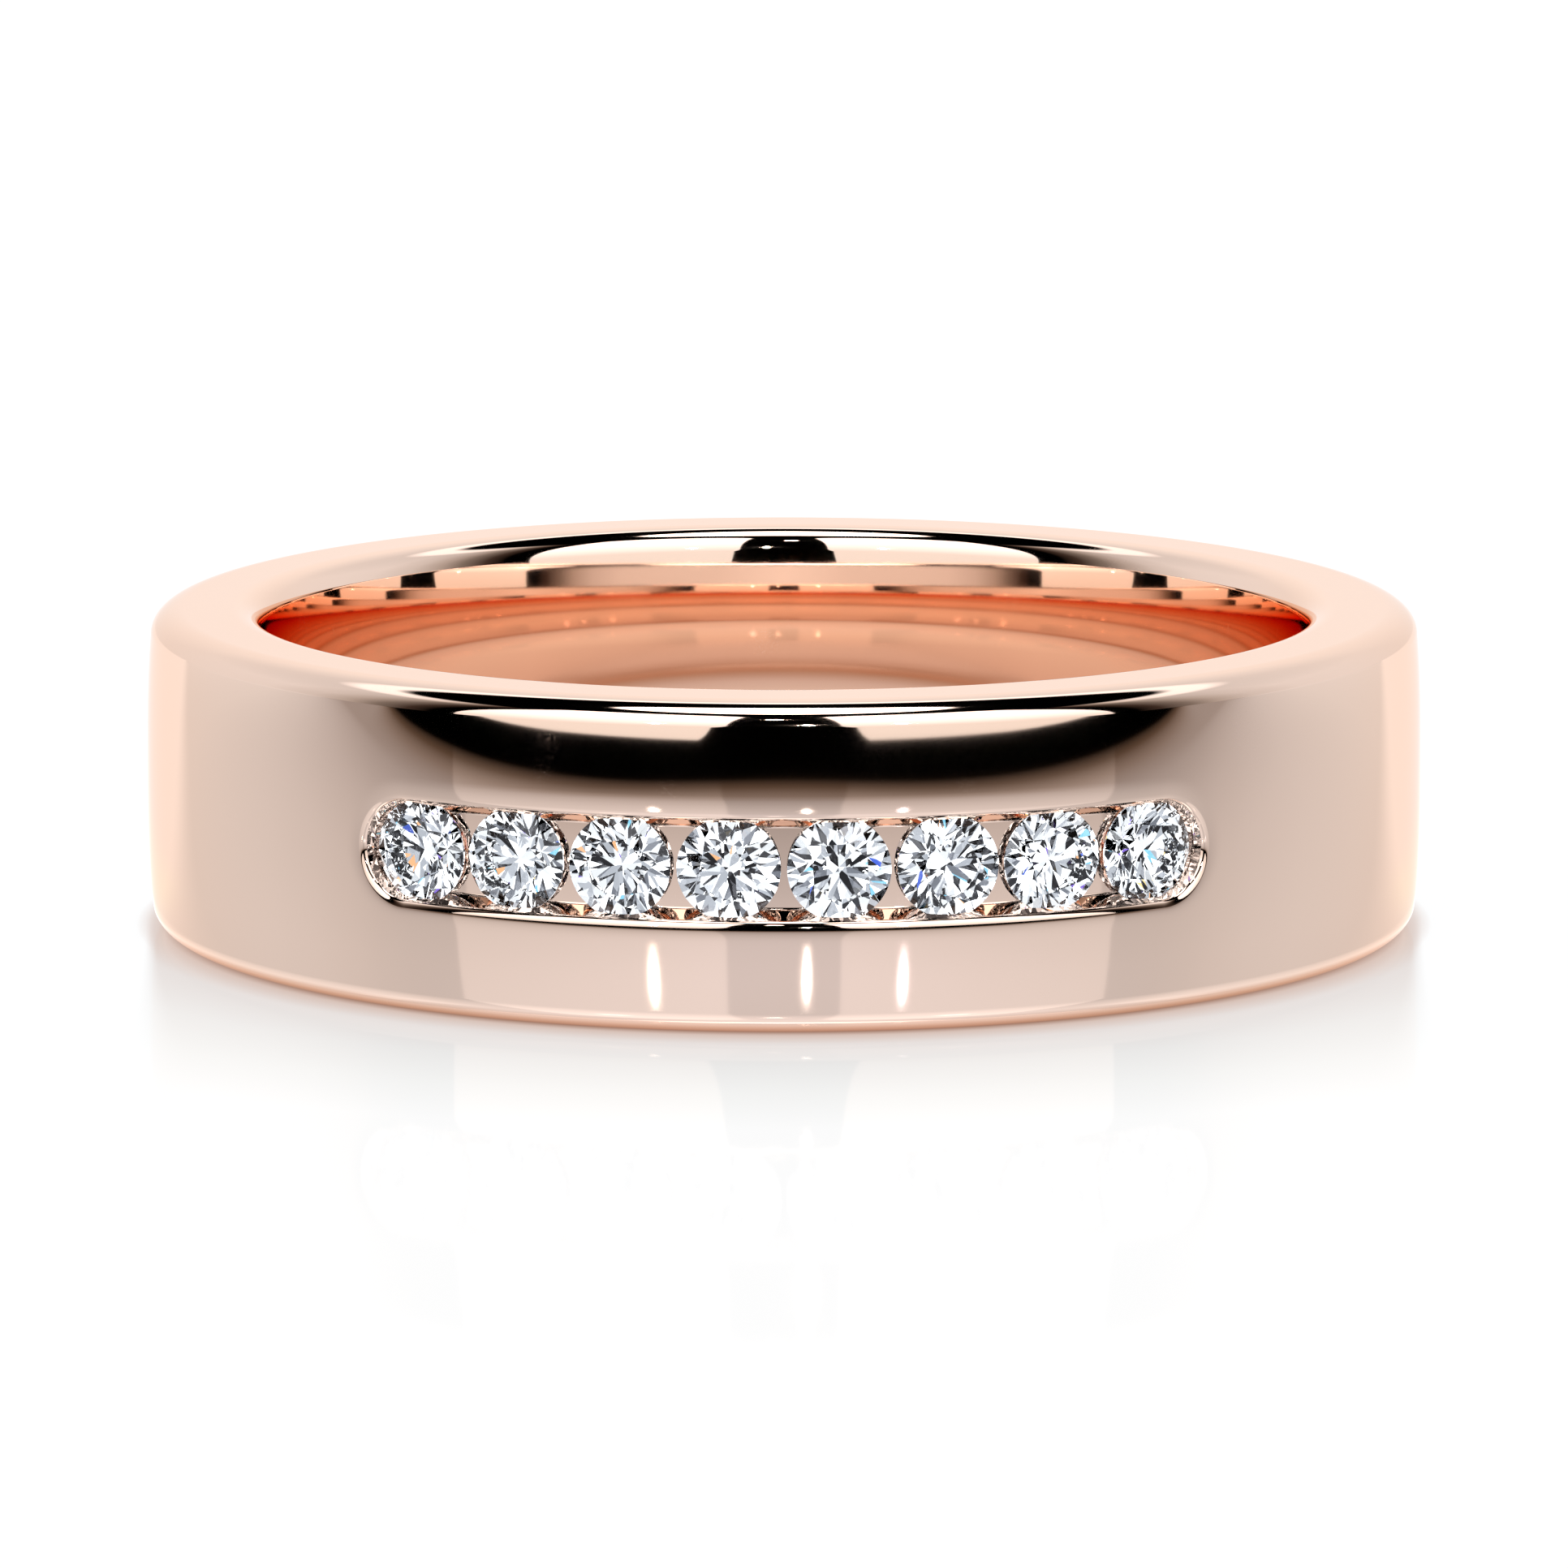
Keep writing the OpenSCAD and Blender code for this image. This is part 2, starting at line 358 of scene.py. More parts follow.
def build_band_mesh():
    m = Mesher()
    # around the channel, counter-clockwise from outside: lower run, +s end, upper run, -s end
    run = np.linspace(-END_S, END_S, RUN_N + 1)
    th = np.linspace(-math.pi / 2, math.pi / 2, END_N + 1)
    end_dirs = np.stack([np.cos(th), np.sin(th)], -1)[:-1]
    centre = np.concatenate([
        run[:-1], np.full(END_N, END_S), run[::-1][:-1], np.full(END_N, -END_S)])
    dirs = np.concatenate([
        np.tile([0.0, -1.0], (RUN_N, 1)), end_dirs, np.tile([0.0, 1.0], (RUN_N, 1)), -end_dirs])
    square = dirs / np.abs(dirs).max(1)[:, None]
    base = np.stack([centre, 0 * centre], -1)
    rows = []
    # dome, lip, wall, fillet and flat floor, from the patch's square border inwards
    for u in np.linspace(1, 0, DOME_ROWS + 1)[:-1] ** DOME_CROWDING:
        inner = base + LIP_HALF * dirs
        outer = base + DOME_END * square
        rows.append(inner + u * (outer - inner))
    for t in np.linspace(0, LIP_TURN, LIP_ROWS + 1):
        rows.append(base + (LIP_HALF - LIP_R * math.sin(t)) * dirs)
    for rho in np.linspace(LIP_FOOT[0], WALL_END, WALL_ROWS + 1)[1:]:
        rows.append(base + rho * dirs)
    for t in np.linspace(math.pi / 2 - WALL_LEAN, 0, FILLET_ROWS + 1)[1:]:
        rows.append(base + (FILLET_C[0] + FILLET_R * math.sin(t)) * dirs)
    for rho in np.linspace(FLAT_HALF, 0, FLAT_ROWS + 1)[1:]:
        rows.append(base + rho * dirs)
    sz = np.array(rows)
    m.quads(m.grid(outer_point(sz[..., 0], sz[..., 1])), K_OUTER, wrap=True)
    # dome around the back
    across = DOME_END * np.tan(np.linspace(-math.pi / 4, math.pi / 4, END_N // 2 + 1))
    back = np.linspace(FRONT_S, 2 * math.pi * OUTER_R - FRONT_S, BACK_N + 1)
    zz, ss = np.meshgrid(across, back, indexing="ij")
    r = dome(zz)
    ang = ss / OUTER_R
    m.quads(m.grid(np.stack([r * np.sin(ang), -r * np.cos(ang), zz], -1)), K_OUTER)
    # sides and hole, one column for each vertex of the dome's border
    corner = END_S + DOME_END * np.tan(np.linspace(0, math.pi / 4, END_N // 4 + 1))
    cols = np.concatenate([-corner[::-1][:-1], run[:-1], corner[:-1], back[:-1]]) / OUTER_R
    section, _ = side_profile()
    rr, aa = np.meshgrid(section[:, 0], cols, indexing="ij")
    zz = np.repeat(section[:, 1][:, None], len(cols), 1)
    m.quads(m.grid(np.stack([rr * np.sin(aa), -rr * np.cos(aa), zz], -1)), K_SIDE, wrap=True)
    return m


BATCH = 20000  # points compared with the section at a time, to save memory


def side_normal(points):
    """Normals of the revolved part, by the nearest place on the section."""
    section, normals = side_profile()
    rz = np.stack([np.hypot(points[:, 0], points[:, 1]), points[:, 2]], -1)
    out = np.empty((len(points), 2))
    for i in range(0, len(points), BATCH):
        d = ((rz[i:i + BATCH, None, :] - section[None]) ** 2).sum(-1)
        out[i:i + BATCH] = normals[d.argmin(1)]
    a = np.arctan2(points[:, 1], points[:, 0])
    return np.stack([out[:, 0] * np.cos(a), out[:, 0] * np.sin(a), out[:, 1]], -1)


def seat_normal(points, face_centres, face_normals):
    """Normals of the stone seats: each face is a piece of a cone about its own stone's axis."""
    a = np.arctan2(face_centres[:, 0], -face_centres[:, 1])
    middle = (STONES - 1) / 2
    a = (np.clip(np.round(a / PITCH + middle), 0, STONES - 1) - middle) * PITCH
    axis = np.stack([np.sin(a), -np.cos(a), 0 * a], -1)
    along = (face_normals * axis).sum(-1)
    radial = points - (points * axis).sum(-1)[:, None] * axis
    radial /= np.maximum(np.linalg.norm(radial, axis=1), 1e-9)[:, None]
    return axis * along[:, None] - radial * np.sqrt(np.clip(1 - along ** 2, 0, 1))[:, None]


def on_row(angle, r):
    """Matrix from a stone's own axes, +Z out of the band, to the ring's, in mm."""
    upright = Matrix.Rotation(math.pi / 2, 4, "X")
    return Matrix.Rotation(angle, 4, "Z") @ Matrix.Translation((0, -r, 0)) @ upright


def stone_angle(n):
    return (n - (STONES - 1) / 2) * PITCH


def circle(r, n, z, turn=0.0):
    turns = [turn + 2 * math.pi * k / n for k in range(n)]
    return [(r * math.cos(t), r * math.sin(t), z) for t in turns]


def mesh_object(name, co, faces, scale=MM):
    mesh = bpy.data.meshes.new(name)
    mesh.from_pydata([tuple(float(x) * scale for x in v) for v in co], [], faces)
    mesh.update()
    obj = bpy.data.objects.new(name, mesh)
    scene.collection.objects.link(obj)
    return obj


def revolve(section, n):
    """A closed solid about +Z from (r, z) points that start and end on the axis."""
    co, faces, rings = [], [], []
    for r, z in section:
        if r < 1e-9:
            rings.append([len(co)])
            co.append((0, 0, z))
        else:
            rings.append(list(range(len(co), len(co) + n)))
            co += circle(r, n, z)
    for a, b in zip(rings, rings[1:]):
        for k in range(n):
            j = (k + 1) % n
            f = [a[k % len(a)], a[j % len(a)], b[j % len(b)], b[k % len(b)]]
            faces.append([v for i, v in enumerate(f) if v != f[i - 1]])
    return co, faces


def boolean(target, other, operation):
    """Replace the target's mesh by the result, and remove the other object."""
    mod = target.modifiers.new("cut", "BOOLEAN")
    mod.operation = operation
    mod.solver = "MANIFOLD"
    mod.object = other
    dg = bpy.context.evaluated_depsgraph_get()
    result = bpy.data.meshes.new_from_object(target.evaluated_get(dg))
    target.modifiers.clear()
    old = target.data
    target.data = result
    bpy.data.meshes.remove(old)
    data = other.data
    bpy.data.objects.remove(other)
    bpy.data.meshes.remove(data)


ROUND_N = 96  # sides of the turned shapes
CUTTER_TOP_R = 0.4


def seat_cutters():
    """One tool for each stone: notch, bearing, opening cone and pilot hole, all in one mesh."""
    notch_r = STONE_R + SEAT_GAP
    notch_half = GIRDLE_HALF + SEAT_GAP
    bearing_h = -notch_half - (notch_r - OPENING_R) * math.tan(PAVILION_ANGLE)
    opening_h = GIRDLE_DEPTH - FLOOR_DEPTH - OPENING_DEPTH
    pilot_h = opening_h - (OPENING_R - PILOT_R) * math.tan(PAVILION_ANGLE)
    top_h = notch_half + (notch_r - CUTTER_TOP_R) * math.tan(CROWN_ANGLE)
    co, faces = revolve([
        (0, -PILOT_REACH), (PILOT_R, -PILOT_REACH), (PILOT_R, pilot_h), (OPENING_R, opening_h),
        (OPENING_R, bearing_h), (notch_r, -notch_half), (notch_r, notch_half),
        (CUTTER_TOP_R, top_h), (0, top_h)], ROUND_N)
    all_co, all_faces = [], []
    for n in range(STONES):
        mat = on_row(stone_angle(n), GIRDLE_R)
        base = len(all_co)
        all_co += [mat @ Vector(v) for v in co]
        all_faces += [[base + i for i in f] for f in faces]
    return mesh_object("seat_cutters", all_co, all_faces)


def read(items, name, size=1, dtype=float):
    """One attribute of every item, as an array."""
    out = np.zeros(len(items) * size, dtype)
    items.foreach_get(name, out)
    return out.reshape(-1, size) if size > 1 else out


def set_class(mesh, tags, kinds):
    """Give each face its class number as a material, which the boolean carries along."""
    for tag in tags:
        mesh.materials.append(tag)
    mesh.polygons.foreach_set("material_index", np.array(kinds, np.int32))


def build_band():
    """The polished band with its seats cut, and exact normals at every corner of every face."""
    m = build_band_mesh()
    band = mesh_object("band_polished", m.co, m.faces)
    cutters = seat_cutters()
    tags = [bpy.data.materials.new(f"tag_{k}") for k in (K_OUTER, K_SIDE, K_SEAT)]
    set_class(band.data, tags, m.kind)
    set_class(cutters.data, tags, [K_SEAT] * len(cutters.data.polygons))
    boolean(band, cutters, "DIFFERENCE")
    mesh = band.data
    faces = mesh.polygons
    n_faces = len(faces)
    loop_face = np.repeat(np.arange(n_faces), read(faces, "loop_total", dtype=np.int32))
    loop_kind = read(faces, "material_index", dtype=np.int32)[loop_face]
    loop_co = read(mesh.vertices, "co", 3)[read(mesh.loops, "vertex_index", dtype=np.int32)] / MM
    normals = np.zeros((len(mesh.loops), 3))
    sel = loop_kind == K_OUTER
    normals[sel] = outer_normal(loop_co[sel])
    sel = loop_kind == K_SIDE
    normals[sel] = side_normal(loop_co[sel])
    sel = loop_kind == K_SEAT
    normals[sel] = seat_normal(loop_co[sel], read(faces, "center", 3)[loop_face[sel]] / MM,
                               read(faces, "normal", 3)[loop_face[sel]])
    mesh.materials.clear()
    faces.foreach_set("material_index", np.zeros(n_faces, np.int32))
    faces.foreach_set("use_smooth", np.ones(n_faces, bool))
    for tag in tags:
        bpy.data.materials.remove(tag)
    mesh.normals_split_custom_set([tuple(v) for v in normals])
    return band


# ---------------------------------------------------------------- the stones
ROUGH_SPARE = 1.03  # the rough stone's radius, before its girdle is turned
TURNING_HALF = 1.2


def brilliant_mesh():
    """A rough brilliant on its own axes, girdle at the origin, table towards +Z, in mm."""
    crown, pavilion = math.tan(CROWN_ANGLE), math.tan(PAVILION_ANGLE)
    half = math.radians(22.5)
    table_r = STONE_R * TABLE_SHARE
    table_flat = table_r * math.cos(half)
    star_r = table_flat + STAR_SHARE * (STONE_R - table_flat)
    lower_r = STONE_R * (1 - LOWER_SHARE)
    rough_r = STONE_R * ROUGH_SPARE
    spare = rough_r - STONE_R
    co = circle(table_r, 8, GIRDLE_HALF + (STONE_R - table_r) * crown)
    co += circle(star_r, 8, GIRDLE_HALF + (STONE_R - star_r * math.cos(half)) * crown, half)
    co += circle(rough_r, 16, GIRDLE_HALF - spare * crown)
    co += circle(rough_r, 16, spare * pavilion - GIRDLE_HALF)
    co += circle(lower_r, 8, -GIRDLE_HALF - (STONE_R - lower_r * math.cos(half)) * pavilion, half)
    co.append((0, 0, -GIRDLE_HALF - STONE_R * pavilion))
    star, top, low, lower, culet = 8, 16, 32, 48, 56  # first vertex of each ring after the table
    faces = [list(range(8))]
    for k in range(8):
        prev, succ = (k + 7) % 8, (k + 1) % 8
        girdle, beside, after = 2 * k, 2 * k + 1, (2 * k + 2) % 16
        faces += [[star + k, succ, k], [star + prev, top + girdle, star + k, k],
                  [top + girdle, top + beside, star + k], [top + beside, top + after, star + k],
                  [low + beside, low + girdle, lower + k], [low + after, low + beside, lower + k],
                  [lower + k, low + girdle, lower + prev, culet]]
    for k in range(16):
        succ = (k + 1) % 16
        faces.append([low + k, low + succ, top + succ, top + k])
    return co, faces


STONE_TURNS = (4, 19, 33, 12, 27, 8, 38, 16)  # degrees each stone is turned about its own axis


def build_stones(material):
    rough = mesh_object("rough_stone", *brilliant_mesh())
    turning = revolve([(0, -TURNING_HALF), (STONE_R, -TURNING_HALF), (STONE_R, TURNING_HALF),
                       (0, TURNING_HALF)], ROUND_N)
    boolean(rough, mesh_object("girdle_turning", *turning), "INTERSECT")
    for n in range(STONES):
        data = rough.data.copy()
        turn = Matrix.Rotation(math.radians(STONE_TURNS[n]), 4, "Z")
        place = on_row(stone_angle(n), GIRDLE_R) @ turn
        data.transform(Matrix.Scale(MM, 4) @ place @ Matrix.Scale(1 / MM, 4))
        data.materials.clear()
        data.materials.append(material)
        obj = bpy.data.objects.new(f"brilliant_{n + 1}", data)
        scene.collection.objects.link(obj)
        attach(obj, "root")
        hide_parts(f"diamond_{n + 1}")
    bpy.data.objects.remove(rough)


# ---------------------------------------------------------------- materials
POLISH_LOW, POLISH_HIGH = 0.028, 0.048  # roughness of the polish, from place to place
WEAR = 0.28  # roughness in the hairlines


def noise(tree, coord, scale, detail, distortion=0.0):
    inputs = {"Vector": coord, "Scale": scale, "Detail": detail, "Distortion": distortion}
    return add_node(tree, "ShaderNodeTexNoise", inputs).outputs["Fac"]


def gold_material():
    mat, tree, out = new_material("polished_rose_gold")
    coord = add_node(tree, "ShaderNodeTexCoord").outputs["Object"]
    cloud = noise(tree, coord, 260.0, 3.0)
    polish = add_node(tree, "ShaderNodeMapRange", {
        "Value": cloud, "From Min": 0.3, "From Max": 0.7,
        "To Min": POLISH_LOW, "To Max": POLISH_HIGH}).outputs["Result"]
    # hairline wear: short fine lines, in a few clusters
    cluster = soft_step(tree, noise(tree, coord, 520.0, 1.0), 0.62, 0.70)
    hair = noise(tree, coord, 7000.0, 1.0, distortion=2.0)
    line = soft_step(tree, absolute(tree, sub(tree, hair, 0.5)), 0.005, 0.001)
    wear = mul(tree, mul(tree, line, cluster), WEAR)
    rough = math_node(tree, "MAXIMUM", polish, wear)
    tint = ramp(tree, cloud, [(0.3, (0.972, 0.733, 0.604)), (0.7, (0.978, 0.741, 0.612))])
    bsdf = add_node(tree, "ShaderNodeBsdfPrincipled", {
        "Base Color": tint, "Metallic": 1.0, "Roughness": rough,
        "Specular Tint": (0.985, 0.85, 0.76, 1.0)})
    tree.links.new(bsdf.outputs["BSDF"], out.inputs["Surface"])
    return mat


def diamond_material():
    mat, tree, out = new_material("diamond")
    coord = add_node(tree, "ShaderNodeTexCoord").outputs["Object"]
    cloud = noise(tree, coord, 1500.0, 2.0)
    tint = ramp(tree, cloud, [(0.3, (0.97, 0.98, 1.0)), (0.7, (1.0, 1.0, 1.0))])
    bsdf = add_node(tree, "ShaderNodeBsdfPrincipled", {
        "Base Color": tint, "Roughness": 0.0, "IOR": 2.417, "Transmission Weight": 1.0,
        "Specular Tint": (0.3, 0.3, 0.32, 1.0)})
    tree.links.new(bsdf.outputs["BSDF"], out.inputs["Surface"])
    return mat


# ---------------------------------------------------------------- lights
def direction(az, el):
    """Unit vector to a place around the ring: azimuth 0 is the stones' side, + towards +X."""
    a, e = math.radians(az), math.radians(el)
    return Vector((math.sin(a) * math.cos(e), -math.cos(a) * math.cos(e), math.sin(e)))


def emission_material(name):
    """A glowing material, and its tree and emission node to colour it with."""
    mat, tree, out = new_material(name)
    em = add_node(tree, "ShaderNodeEmission", {"Strength": 1.0})
    tree.links.new(em.outputs[0], out.inputs["Surface"])
    return mat, tree, em


def rounded_panel(name, width, height, corners, n=16):
    """A flat panel in its own x, y plane, facing +Z, in metres.

    corners: (x, y) radii, counter-clockwise from the corner at +x +y.
    """
    co = []
    for k, (cx, cy) in enumerate(((1, 1), (-1, 1), (-1, -1), (1, -1))):
        rx, ry = corners[k]
        for i in range(n + 1):
            a = math.pi / 2 * (k + i / n)
            co.append((cx * (width / 2 - rx) + rx * math.cos(a),
                       cy * (height / 2 - ry) + ry * math.sin(a), 0))
    return mesh_object(name, co, [list(range(len(co)))], 1.0)


def place_panel(panel, d, centre):
    """Turn a panel towards the ring from the direction d. Only the gold shows it."""
    turn = (-d).to_track_quat("Z", "Y").to_matrix().to_4x4()
    panel.matrix_world = Matrix.Translation(centre) @ turn
    panel.visible_camera = False
    panel.visible_transmission = False
    panel.visible_shadow = False


SOFTBOX_AWAY = 0.40
SOFTBOX_HALF_AZ = 25
SOFTBOX_LOW, SOFTBOX_HIGH = -0.5, 63  # elevations
SOFTBOX_FAR_LOW, SOFTBOX_NEAR_LOW = (0.21, 0.012), (0.045, 0.09)  # corner radii, in metres
SOFTBOX_TOP = (0.10, 0.10)


def softbox(name, az, outer):
    """A tall soft light, brighter towards its top; outer: +1 if its own +x side is the far one."""
    width = 2 * SOFTBOX_AWAY * math.tan(math.radians(SOFTBOX_HALF_AZ))
    z0 = SOFTBOX_AWAY * math.tan(math.radians(SOFTBOX_LOW))
    z1 = SOFTBOX_AWAY * math.tan(math.radians(SOFTBOX_HIGH))
    low = (SOFTBOX_FAR_LOW, SOFTBOX_NEAR_LOW)[::-outer]
    panel = rounded_panel(name, width, z1 - z0, (SOFTBOX_TOP, SOFTBOX_TOP) + low)
    d = direction(az, 0)
    place_panel(panel, d, d * SOFTBOX_AWAY + Vector((0, 0, (z0 + z1) / 2)))
    mat, tree, em = emission_material(name)
    pos = add_node(tree, "ShaderNodeNewGeometry").outputs["Position"]
    z = add_node(tree, "ShaderNodeSeparateXYZ", {0: pos}).outputs[2]
    share = math_node(tree, "DIVIDE", sub(tree, z, z0), z1 - z0)
    colour = ramp(tree, share, [
        (0.0, (0.98, 0.97, 0.95)), (0.06, (1.04, 1.04, 1.03)), (0.12, (1.20, 1.21, 1.24)),
        (0.3, (1.55, 1.58, 1.62)), (1.0, (2.2, 2.2, 2.2))])
    tree.links.new(colour, em.inputs["Color"])
    panel.data.materials.append(mat)


LAMP_CORNER = 0.45  # corner radius as a share of each side: nearly an ellipse


def lamp(name, az, el, distance, width, height, colour, strength):
    """A small bright light, which the gold shows as a highlight."""
    panel = rounded_panel(name, width, height, [(width * LAMP_CORNER, height * LAMP_CORNER)] * 4)
    d = direction(az, el)
    place_panel(panel, d, d * distance)
    mat, _, em = emission_material(name)
    em.inputs["Color"].default_value = (*colour, 1.0)
    em.inputs["Strength"].default_value = strength
    panel.data.materials.append(mat)


# name, azimuth, elevation, distance, width, height, colour, strength
LAMPS = (
    ("lamp_front_high", -2, 45, 0.5, 0.022, 0.022, (1, 1, 1), 20),
    ("lamp_front_low", 4, 16, 0.5, 0.010, 0.040, (1, 1, 1), 120),
    ("lamp_left_low", -23, 16, 0.36, 0.009, 0.030, (1, 0.95, 0.9), 70),
    ("lamp_right_low", 21, 16, 0.36, 0.009, 0.030, (0.9, 0.86, 1), 35),
    ("lamp_left_high", -39, 50, 0.5, 0.045, 0.03, (1, 1, 1), 8),
    ("lamp_right_high", 39, 50, 0.5, 0.045, 0.03, (1, 1, 1), 8),
)


def build_lights():
    softbox("softbox_left", -35, 1)
    softbox("softbox_right", 35, -1)
    for row in LAMPS:
        lamp(*row)


# ---------------------------------------------------------------- world
BLACK, WHITE = (0.0, 0.0, 0.0, 1.0), (1.0, 1.0, 1.0, 1.0)
TOP_LIGHT = 6.0
FLASH_LEVEL = 0.982  # cells above it flash in a colour


def random_cells(tree, d, scale):
    """Three random numbers for each cell of the sky."""
    cells = add_node(tree, "ShaderNodeTexVoronoi", {"Vector": d, "Scale": scale, "Randomness": 1.0})
    return add_node(tree, "ShaderNodeSeparateColor", {0: cells.outputs["Color"]}).outputs


def stone_surroundings(tree, d, y):
    """The light that leaves the stones' facets: many lamps and dark gaps in front, none behind."""
    light = ramp(tree, random_cells(tree, d, 4.0)[0], [
        (0.0, 0.0), (0.25, (0.22, 0.24, 0.28)), (0.32, (0.55, 0.59, 0.65)),
        (0.40, (1.02, 1.07, 1.12)), (0.62, (2.3, 2.38, 2.46))], "CONSTANT")
    fire = random_cells(tree, d, 9.0)
    hue = ramp(tree, fire[1], [
        (0.0, (0.10, 0.20, 0.95)), (0.4, (0.28, 0.16, 0.85)), (0.55, (1.3, 1.0, 0.40)),
        (0.75, (1.2, 0.62, 0.30)), (0.85, (0.30, 0.80, 1.1))], "CONSTANT")
    lit = blend(tree, math_node(tree, "GREATER_THAN", fire[0], FLASH_LEVEL), light, hue)
    return blend(tree, soft_step(tree, y, 0.05, -0.05), BLACK, lit)


def studio_walls(tree, x, y, z):
    """The walls in the gold's reflections: dark in front, brighter round the sides to the back,
    with a brighter band above, then a dark gap, then the overhead light."""
    around = math_node(tree, "ARCTAN2", absolute(tree, x), mul(tree, y, -1.0))
    around = math_node(tree, "DEGREES", around)  # 0 in front, 180 behind
    wall = scaled_ramp(tree, around, 0, 180, [
        (0, 0.0), (66, 0.0), (71, (0.05, 0.035, 0.028)), (78, (0.22, 0.20, 0.185)),
        (84, (0.46, 0.44, 0.425)), (93, (0.68, 0.685, 0.70)), (106, (0.83, 0.85, 0.88)),
        (120, (0.86, 0.885, 0.92)), (150, (0.89, 0.92, 0.96)), (180, (1.04, 1.09, 1.14))])
    el = math_node(tree, "DEGREES", math_node(tree, "ARCSINE", z))
    level = scaled_ramp(tree, el, 0, 90, [
        (0, 1.0), (25, 1.0), (45, 0.86), (48, 1.5), (52, 1.5), (54, 0.0), (90, 0.0)])
    top = scaled_ramp(tree, el, 0, 90, [(0, 0.0), (74, 0.0), (76, 1.0), (90, 1.0)])
    return colour_node(tree, "ADD", colour_node(tree, "MULTIPLY", wall, level),
                       colour_node(tree, "MULTIPLY", top, (TOP_LIGHT,) * 3))


def build_world():
    """White to the camera, the stones' surroundings to rays through a stone, else the studio."""
    world = bpy.data.worlds.new("studio_walls")
    scene.world = world
    world.use_nodes = True
    tree = world.node_tree
    tree.nodes.clear()
    out = add_node(tree, "ShaderNodeOutputWorld")
    d = add_node(tree, "ShaderNodeTexCoord").outputs["Generated"]
    x, y, z = add_node(tree, "ShaderNodeSeparateXYZ", {0: d}).outputs
    studio, gems, plain = [
        add_node(tree, "ShaderNodeBackground", {"Color": colour, "Strength": 1.0}).outputs[0]
        for colour in (studio_walls(tree, x, y, z), stone_surroundings(tree, d, y), WHITE)]
    path = add_node(tree, "ShaderNodeLightPath").outputs
    shader = studio
    for ray, other in (("Is Transmission Ray", gems), ("Is Camera Ray", plain)):
        inputs = {0: path[ray], 1: shader, 2: other}
        shader = add_node(tree, "ShaderNodeMixShader", inputs).outputs[0]
    tree.links.new(shader, out.inputs["Surface"])


# ---------------------------------------------------------------- floor, all places in mm
def bell(tree, value, centre, width):
    """1 at the centre, fading as a bell curve."""
    u = math_node(tree, "DIVIDE", sub(tree, value, centre), width)
    return math_node(tree, "EXPONENT", mul(tree, math_node(tree, "POWER", u, 2.0), -1.0))


def floor_places(tree):
    """Place on the floor: x, y and the distance from the finger axis."""
    pos = add_node(tree, "ShaderNodeNewGeometry").outputs["Position"]
    flat = colour_node(tree, "MULTIPLY", pos, (1 / MM, 1 / MM, 0.0))
    xyz = add_node(tree, "ShaderNodeSeparateXYZ", {0: flat})
    far = add_node(tree, "ShaderNodeVectorMath", {0: flat}, operation="LENGTH").outputs["Value"]
    return xyz.outputs[0], xyz.outputs[1], far


def glossy_floor(tree, out, colour, gloss, rough):
    # the floor's colour glows, so the light and shade in it are painted
    glow = add_node(tree, "ShaderNodeEmission", {"Color": colour, "Strength": 1.0})
    shine = add_node(tree, "ShaderNodeBsdfGlossy", {"Color": WHITE, "Roughness": rough})
    mix = add_node(tree, "ShaderNodeMixShader", {0: gloss, 1: glow.outputs[0], 2: shine.outputs[0]})
    tree.links.new(mix.outputs[0], out.inputs["Surface"])


SEEN_GLOSS, SEEN_ROUGH = 0.07, 0.05
# the painted shade in front of the ring
SHADE_NARROWS = 0.0595  # per mm in front
SHADE_BLUR, SHADE_BLUR_GROWTH = 0.10, 0.0035  # mm, and mm per square mm in front
SHADE_REACH = 30.0


def seen_floor_material():
    """The white floor as the camera sees it, with the ring's contact shade painted into its glowing
    colour by place, not cast.
    """
    mat, tree, out = new_material("floor_white_painted_shade")
    x, y, far = floor_places(tree)
    # painted shade under and inside the ring, warmed as by light off the gold
    painted_shade_under_ring = [
        (0.0, (0.98, 0.96, 0.95)), (7.5, (0.93, 0.88, 0.85)), (9.6, (0.72, 0.58, 0.50)),
        (10.4, (0.35, 0.16, 0.09)), (11.25, (0.30, 0.12, 0.06)), (11.7, (0.70, 0.56, 0.50))]
    contact = scaled_ramp(tree, far, 0.0, SHADE_REACH, painted_shade_under_ring + [(12.2, 1.0), (SHADE_REACH, 1.06)])
    shade = scaled_ramp(tree, far, 0.0, SHADE_REACH, painted_shade_under_ring + [
        (12.5, (0.80, 0.76, 0.745)), (14.5, (0.885, 0.875, 0.865)),
        (17.0, (0.965, 0.965, 0.955)), (20.0, 1.04), (SHADE_REACH, 1.06)])
    # painted soft shade, laid forward between the ring's two sides and blurred with distance
    ahead = math_node(tree, "MAXIMUM", mul(tree, y, -1.0), 0.0)
    half = sub(tree, OUTER_R, mul(tree, ahead, SHADE_NARROWS))
    blur = add(tree, mul(tree, mul(tree, ahead, ahead), SHADE_BLUR_GROWTH), SHADE_BLUR)
    inside = math_node(tree, "DIVIDE", sub(tree, half, absolute(tree, x)), blur)
    painted_shade_forward = mul(tree, soft_step(tree, inside, -1.0, 1.0), soft_step(tree, y, 3.0, -3.0))
    glossy_floor(tree, out, blend(tree, painted_shade_forward, contact, shade), SEEN_GLOSS, SEEN_ROUGH)
    return mat


MIRRORED_GLOSS, MIRRORED_ROUGH = 0.13, 0.09
BULGE, BULGE_WIDTH = 20.0, 28.0  # how much farther off the dark starts in the middle
SIDE_LEVEL = -24.0  # the darkest that the floor gets to the sides
WEDGE_HALF, WEDGE_OPENS = 13.8, 0.95  # half width beside the ring, and growth per mm behind


